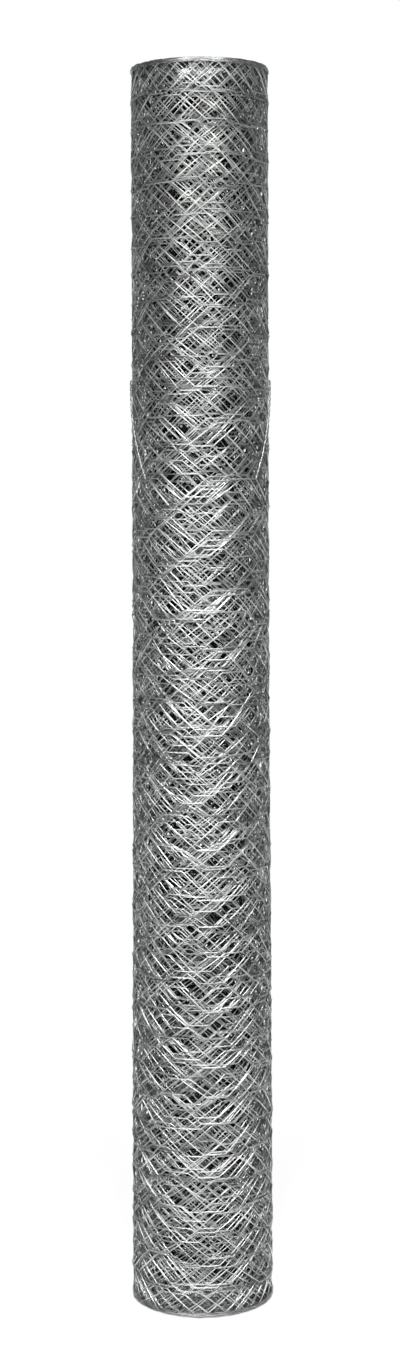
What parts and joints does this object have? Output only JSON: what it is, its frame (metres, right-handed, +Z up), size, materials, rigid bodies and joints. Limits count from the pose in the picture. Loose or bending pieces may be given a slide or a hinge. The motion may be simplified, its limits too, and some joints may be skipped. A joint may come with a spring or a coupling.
{
  "type": "roll of chicken wire",
  "caption": "Standing roll of galvanised hexagonal wire netting with an open bore, tied round with one twisted wire.",
  "frame": {"origin": "on the floor, at the middle of the roll's lower end", "axes": "+Z up along the roll's axis and its bore; -Y is the side that the picture shows"},
  "size_m": [0.144, 0.1438, 1.219],
  "materials": {
    "netting": "hot-dip galvanised wire, dull grey zinc with brighter crossings",
    "tie": "galvanised tie wire, a little brighter than the netting"
  },
  "bodies": {
    "root": {"netting_roll": "netting", "tie_wire": "tie"}
  },
  "joints": []
}
